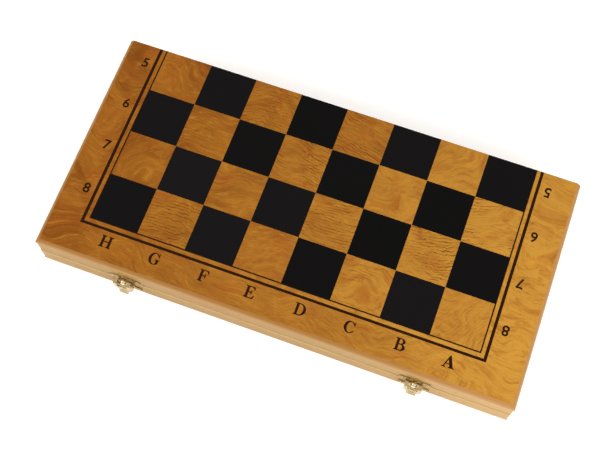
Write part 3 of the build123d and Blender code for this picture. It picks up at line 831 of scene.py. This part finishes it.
class CHESSBOX_OT_brass(bpy.types.Operator):
    """Dress the hinges, nails and latches in brass, with domed nails and ribbed bills"""
    bl_idname = "chessbox.brass"
    bl_label = "Hinges and latches"

    def execute(self, context):
        metal = context.scene.chess_box_metal
        bright = brass_material("latch_pale_brass", metal, metal.pale, 0.30, 0.22)
        plate = brass_material("latch_plate_brass", metal, shade(metal.brass, 0.68), 0.85, 0.32)
        hinge = brass_material("hinge_satin_brass", metal, metal.brass, 0.50, 0.30)
        stud = brass_material("latch_stud_plating", metal, metal.plating, 0.30, 0.15)
        for side in SIDES:
            dress(NODES[f"latch_catch_{side}"], plate)
            dress(NODES[f"latch_base_{side}"], plate)
            dress(NODES[f"latch_lever_{side}"], bright)
            for half in HALVES:
                dress(NODES[f"{half}_hinge_leaf_{side}"], hinge)
            self.ribs(side, bright, metal)
        dress(NODES["latch_pins"], bright)
        dress(NODES["latch_studs"], stud)
        dress(NODES["hinge_pins"], hinge)
        for half in HALVES:
            dress(NODES[f"{half}_nails"], plate)
            self.nail_domes(half, bright, metal)
        return {"FINISHED"}

    def ribs(self, side, made, metal):
        """Ribs across the bill of one latch."""
        low, high = (np.array(v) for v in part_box(f"latch_lever_{side}"))
        x = (low[0] + high[0]) / 2
        foot, heel = (np.array([x, low[1] + out, low[2] + up]) for out, up in RIB_LINE)
        reach = np.array([RIB_REACH, 0.0, 0.0])
        shapes = []
        for t in np.linspace(0.0, 1.0, metal.ribs):
            middle = foot + t * (heel - foot)
            shapes.append(bar(middle - reach, middle + reach, RIB_RADIUS))
        piece(f"latch_ribs_{side}", together(shapes), made, f"lever_{side}")

    def nail_domes(self, half, made, metal):
        """Low domes over the heads of the latch nails of one half."""
        top = half == "upper"
        split_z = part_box("lower_front_rail")[1].z
        z = split_z + (metal.catch_nail if top else -metal.base_nail)
        face_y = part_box(f"{half}_nails")[0].y
        forward, across = np.array([0.0, -1.0, 0.0]), np.array([1.0, 0.0, 0.0])
        shapes = []
        for side in SIDES:
            low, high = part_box(f"latch_{'catch' if top else 'base'}_{side}")
            middle = (low.x + high.x) / 2
            for way in (-1, 1):
                centre = np.array([middle + way * metal.nail_pitch / 2, face_y, z])
                shapes.append(dome(centre, forward, across, metal.nail_radius, metal.dome))
        piece(f"{half}_nail_domes", together(shapes), made, f"{half}_half")


# Each kind of man: its height, the diameter of its foot, and the shares of the height and of the
# foot's radius at which its head touches the felt. WIDEST is the share at which a foot is widest.
WIDEST = 0.04
STANCES = {"king": (60.0, 24.0, 0.81, 0.58), "queen": (54.0, 23.0, 0.89, 0.60),
           "bishop": (46.0, 21.0, 0.75, 0.47), "knight": (42.0, 21.0, 1.0, 10.0 / 21.0),
           "rook": (36.0, 21.0, 1.0, 0.72), "pawn": (31.0, 18.0, 0.84, 0.61)}


def stance(man):
    """Foot centre, front, axis and side of a lying man, from its box and which end is the wide one."""
    tall, foot, rest_h, rest_r = STANCES[man.name.split("_")[1]]
    radius = foot / 2
    tilt = math.atan2(radius - rest_r * radius, (rest_h - WIDEST) * tall)
    co = np.zeros(len(man.data.vertices) * 3)
    man.data.vertices.foreach_get("co", co)
    co = co.reshape(-1, 3)
    low, high = co.min(0), co.max(0)
    near = co[co[:, 1] < low[1] + 3 * MM]
    heading = 1.0 if np.ptp(near[:, 0]) > 0.8 * foot * MM else -1.0
    back = 0.94 * radius * math.sin(tilt) * MM
    y = low[1] + back if heading > 0 else high[1] - back
    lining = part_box("lower_felt")[1].z + 0.05 * MM
    z = lining + (radius * math.cos(tilt) + WIDEST * tall * math.sin(tilt)) * MM
    front = np.array([heading, 0.0, 0.0])
    side = np.array([0.0, heading * math.sin(tilt), math.cos(tilt)])
    return np.array([(low[0] + high[0]) / 2, y, z]), front, np.cross(side, front), side


def pedestal(kind_height, radius, spokes=48):
    """Turned foot: radius against height through a torus, a cove and a collar, closed at both ends."""
    t = np.linspace(0, 1, 9)
    torus = np.stack([0.94 + 0.06 * np.sin(np.pi * t), 0.08 * t], axis=-1)
    bead = np.stack([0.78 - 0.09 * t ** 2, 0.085 + 0.05 * t], axis=-1)
    cove = np.stack([0.69 - 0.09 * np.sin(np.pi * t / 2), 0.135 + 0.105 * t], axis=-1)
    collar = np.stack([0.60 + 0.12 * np.sin(np.pi * t) ** 0.7 + 0.02 * t, 0.245 + 0.10 * t], axis=-1)
    profile = np.concatenate([[(0.002, 0.0)], torus, bead, cove, collar, [(0.002, 0.345)]])
    a = around(spokes)
    r, h = profile[:, :1] * radius, profile[:, 1:] * kind_height
    points = np.stack([r * np.cos(a), h + 0 * a, r * np.sin(a)], axis=-1).reshape(-1, 3)
    return points, grid_faces(len(profile), spokes, True)[:, ::-1]


def horse_head(rows=64, columns=40):
    """Horse's head and neck in millimetres, x to the nose, y up and z across.

    Sections are ovals carried along a bent centre line: at u along it and v round it the point is the
    centre plus w(u) cos v along the line's normal and b(u) sin v across. A ridged mane stands on the
    back of the neck, and small bell-shaped swellings make the cheek, the brow and the nostril."""
    keys = np.linspace(0, 1, 8)
    spots = np.array([(0.2, 12.5), (-0.7, 17.0), (-1.7, 22.0), (-1.6, 27.5), (0.4, 31.4), (3.4, 31.0),
                      (6.3, 27.8), (8.0, 25.2)])
    deep = np.array([6.1, 5.9, 5.2, 4.7, 4.3, 3.6, 2.6, 1.9])
    thick = np.array([4.8, 4.6, 4.2, 4.0, 4.1, 3.5, 2.7, 2.3])
    u = np.linspace(0, 1, rows)
    blur = np.hanning(11) / np.hanning(11).sum()

    def soft(values):
        """Values along the head, from those at the keys, without kinks."""
        padded = np.pad(np.interp(u, keys, values), 5, mode="reflect", reflect_type="odd")
        return np.convolve(padded, blur, mode="valid")

    cx, cy, w, b = soft(spots[:, 0]), soft(spots[:, 1]), soft(deep), soft(thick)
    tx, ty = np.gradient(cx), np.gradient(cy)
    size = np.hypot(tx, ty)
    nx, ny = -ty / size, tx / size
    v = around(columns)
    close = np.sqrt(np.clip(1 - np.clip((u - 0.93) / 0.07, 0, 1) ** 2, 0.0005, 1))
    U, V = np.meshgrid(u, v, indexing="ij")

    def bells(at, wide, angle, spread):
        """Two bell-shaped swellings, one on each side of the head."""
        along = ((U - at) / wide) ** 2
        return sum(np.exp(-along - ((np.cos(V - way * angle) - 1) / spread) ** 2) for way in (1, -1))

    back = np.clip(np.cos(V), 0, 1) ** 4
    mane = (0.55 + 0.45 * np.sin(95 * U + 2.5 * np.sin(2 * V))) * back * np.clip((0.62 - U) / 0.2, 0, 1)
    swell = 1 + 0.16 * bells(0.66, 0.09, 2.2, 0.5)
    brow = 0.10 * bells(0.66, 0.045, 0.95, 0.25)
    nostril = -0.20 * bells(0.93, 0.025, 1.2, 0.15)
    groove = np.exp(-((np.abs(V - np.pi) - 0.85) / 0.10) ** 2)
    mouth = -0.10 * groove * np.clip((U - 0.82) / 0.06, 0, 1)
    k = (swell + brow + nostril + mouth) * close[:, None]
    out = (w[:, None] * k + 0.7 * mane) * np.cos(V)
    across = (b[:, None] * k + 0.25 * mane) * np.sign(np.sin(V)) * np.abs(np.sin(V)) ** 0.9
    points = np.stack([cx[:, None] + nx[:, None] * out, cy[:, None] + ny[:, None] * out, across], axis=-1)
    return tube(points, columns, [(cx[0], cy[0], 0.0), (cx[-1], cy[-1], 0.0)])


def ear(side, rings=9, spokes=14):
    """Pricked ear: a flat spindle, its radius 1.25 sqrt(sin(pi t)) times a taper 1.15 - 0.6 t."""
    t = np.linspace(0.02, 0.98, rings)[:, None]
    a = around(spokes)
    r = 1.25 * np.sqrt(np.sin(np.pi * t)) * (1.15 - 0.6 * t)
    points = np.stack([-1.5 - 1.3 * t + r * np.cos(a), 33.2 + 6.2 * t + 0 * a,
                       side * (2.0 + 0.5 * t) + 0.55 * r * np.sin(a)], axis=-1)
    return tube(points, spokes, [points[0].mean(0), points[-1].mean(0)])


class CHESSBOX_OT_men(bpy.types.Operator):
    """Dress the chessmen in lacquered wood, with felt under their feet, and carve the knights"""
    bl_idname = "chessbox.men"
    bl_label = "Chessmen"

    def execute(self, context):
        men = context.scene.chess_box_men
        woods = {"white": man_material("light_man_wood", men.light, 0.25),
                 "black": man_material("dark_man_wood", men.dark, 0.5)}
        for colour in COLOURS:
            for kind in KINDS:
                slot = "man_light" if colour == "white" else "man_dark"
                dress(NODES[f"{colour}_{kind}"], woods[colour])
            for number in (1, 2):
                self.knight(colour, number, men, woods[colour], slot)
            self.pads(colour)
        return {"FINISHED"}

    def knight(self, colour, number, men, made, slot):
        """Carved knight in the place of its plain solid."""
        name = f"{colour}_knight_{number}"
        foot, front, axis, side = stance(NODES[name])
        tall = men.knight_height / MM
        forward = np.array([1.0, 0.0, 0.0])
        eyes = [dome(np.array([3.3, 33.0, s * 3.25]), np.array([0.0, 0.0, s]), forward, 0.85, 0.55)
                for s in (-1.0, 1.0)]
        base = pedestal(tall, men.knight_foot / MM / 2)
        points, faces = together([base, horse_head(), ear(-1), ear(1), *eyes])
        points[:, 2] *= men.head_thickness / MM / 10.0
        placed = foot + (points[:, :1] * front + points[:, 1:2] * axis + points[:, 2:] * side) * MM
        obj = piece(f"{name}_carved", (placed, faces), made, "lower_half")
        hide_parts(name)

    def pads(self, colour):
        """Felt pads under the feet of one army."""
        shapes = []
        for kind in KINDS:
            foot, front, axis, _ = stance(NODES[f"{colour}_{kind}"])
            radius = 0.88 * STANCES[kind.split("_")[0]][1] / 2 * MM
            shapes.append(dome(foot, -axis, front, radius, 0.25 * MM, 5, 32))
        felt = bpy.data.materials["lining_felt"]
        piece(f"{colour}_foot_pads", together(shapes), felt, "lower_half")


class CHESSBOX_OT_studio(bpy.types.Operator):
    """Set up the floor, the lights and the camera"""
    bl_idname = "chessbox.studio"
    bl_label = "Studio"

    def execute(self, context):
        studio = context.scene.chess_box_studio
        self.floor()
        self.surround(studio)
        self.softbox("key_softbox", (-1.05, -0.35, 0.55), 0.45, studio.key, (1.0, 0.985, 0.96), True)
        self.softbox("fill_softbox", (0.95, -0.80, 0.62), 0.80, studio.fill, (1.0, 0.97, 0.92), False)
        self.camera(studio)
        context.scene.view_settings.view_transform = "Standard"
        return {"FINISHED"}

    def floor(self):
        """Wide pale floor, flat, at the height on which the box stands."""
        reach = 6.0
        a = np.linspace(-reach, reach, 9)
        x, y = np.meshgrid(a, a, indexing="xy")
        points = np.stack([x, y, np.full(x.shape, CAD_BOX[0].z)], axis=-1).reshape(-1, 3)
        mesh = bpy.data.meshes.new("studio_floor")
        mesh.from_pydata(points.tolist(), [], grid_faces(9, 9, False).tolist())
        obj = added("studio_floor", mesh)
        made, shader, where = material("pale_floor")
        put(shader["Base Color"], tint(noise(where, 5.0, 2.0), (0.93, 0.93, 0.93), (0.97, 0.97, 0.97)))
        shader["Roughness"].default_value = 0.9
        shader["Specular IOR Level"].default_value = 0.1
        shader["Emission Color"].default_value = (1.0, 1.0, 1.0, 1.0)
        shader["Emission Strength"].default_value = 0.14
        dress(obj, made)

    def surround(self, studio):
        """Pale walls all round and a dim ceiling, both softer where lacquer and brass mirror them."""
        world = bpy.data.worlds.new("studio")
        bpy.context.scene.world = world
        world.use_nodes = True
        tree = world.node_tree
        direction = Wire(tree, tree.nodes.new("ShaderNodeTexCoord").outputs["Generated"])
        walls = 1.0 - step(split(direction)[2], 0.50, 0.78)
        lit = tint(walls, (0.040, 0.040, 0.042), (1.0, 1.0, 1.0))
        mirrored = tint(walls, (0.32, 0.31, 0.29), (0.36, 0.35, 0.34))
        glossy = Wire(tree, tree.nodes.new("ShaderNodeLightPath").outputs["Is Glossy Ray"])
        back = tree.nodes["Background"]
        put(back.inputs["Color"], tint(glossy, lit, mirrored))
        back.inputs["Strength"].default_value = studio.surround

    def softbox(self, name, place, size, power, colour, mirrored):
        """Square soft light that faces the middle of the board; mirrored says whether gloss shows it."""
        light = bpy.data.lights.new(name, "AREA")
        light.energy = power
        light.size = size
        light.color = colour
        obj = added(name, light)
        obj.location = place
        obj.visible_glossy = mirrored
        obj.rotation_euler = (Vector((0, 0, 0.02)) - Vector(place)).to_track_quat("-Z", "Y").to_euler()

    def camera(self, studio):
        """Camera above the latches, turned a little to the right."""
        lens = bpy.data.cameras.new("camera")
        lens.lens = studio.lens
        lens.sensor_width = 36.0
        lens.clip_end = 50.0
        obj = added("camera", lens)
        forward = Vector((-0.12173, 0.32757, -0.93695)).normalized()
        right = Vector((0.94016, 0.34073, -0.00302))
        right = (right - right.dot(forward) * forward).normalized()
        up = right.cross(forward)
        aim = Vector((-2.52, -5.75, 18.0)) * MM
        place = aim - forward * studio.distance
        turn = Matrix((right, up, -forward)).transposed().to_4x4()
        obj.matrix_world = Matrix.Translation(place) @ turn
        bpy.context.scene.camera = obj


class CHESSBOX_PT_panel(bpy.types.Panel):
    """The box's steps and settings"""
    bl_idname = "CHESSBOX_PT_panel"
    bl_label = "Chess Box"
    bl_space_type = "VIEW_3D"
    bl_region_type = "UI"
    bl_category = "Chess Box"

    def draw(self, context):
        for operator in OPERATORS:
            self.layout.operator(operator.bl_idname)
        for group_name in SETTINGS:
            settings = getattr(context.scene, group_name)
            box = self.layout.box()
            for name in settings.bl_rna.properties.keys():
                if name not in ("rna_type", "name"):
                    box.prop(settings, name)


OPERATORS = (CHESSBOX_OT_board, CHESSBOX_OT_lettering, CHESSBOX_OT_rails, CHESSBOX_OT_lining,
             CHESSBOX_OT_brass, CHESSBOX_OT_men, CHESSBOX_OT_studio)
SETTINGS = {"chess_box_board": ChessBoxBoard, "chess_box_metal": ChessBoxMetal,
            "chess_box_men": ChessBoxMen, "chess_box_studio": ChessBoxStudio}


def register():
    """Add the classes and the scene's settings."""
    for cls in (*SETTINGS.values(), *OPERATORS, CHESSBOX_PT_panel):
        bpy.utils.register_class(cls)
    for name, cls in SETTINGS.items():
        setattr(bpy.types.Scene, name, bpy.props.PointerProperty(type=cls))


def unregister():
    """Take the scene's settings and the classes away again."""
    for name in SETTINGS:
        delattr(bpy.types.Scene, name)
    for cls in reversed((*SETTINGS.values(), *OPERATORS, CHESSBOX_PT_panel)):
        bpy.utils.unregister_class(cls)


def main():
    """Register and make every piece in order."""
    register()
    build_groups()
    for operator in OPERATORS:
        module, name = operator.bl_idname.split(".")
        getattr(getattr(bpy.ops, module), name)()


if __name__ == "__main__":
    main()
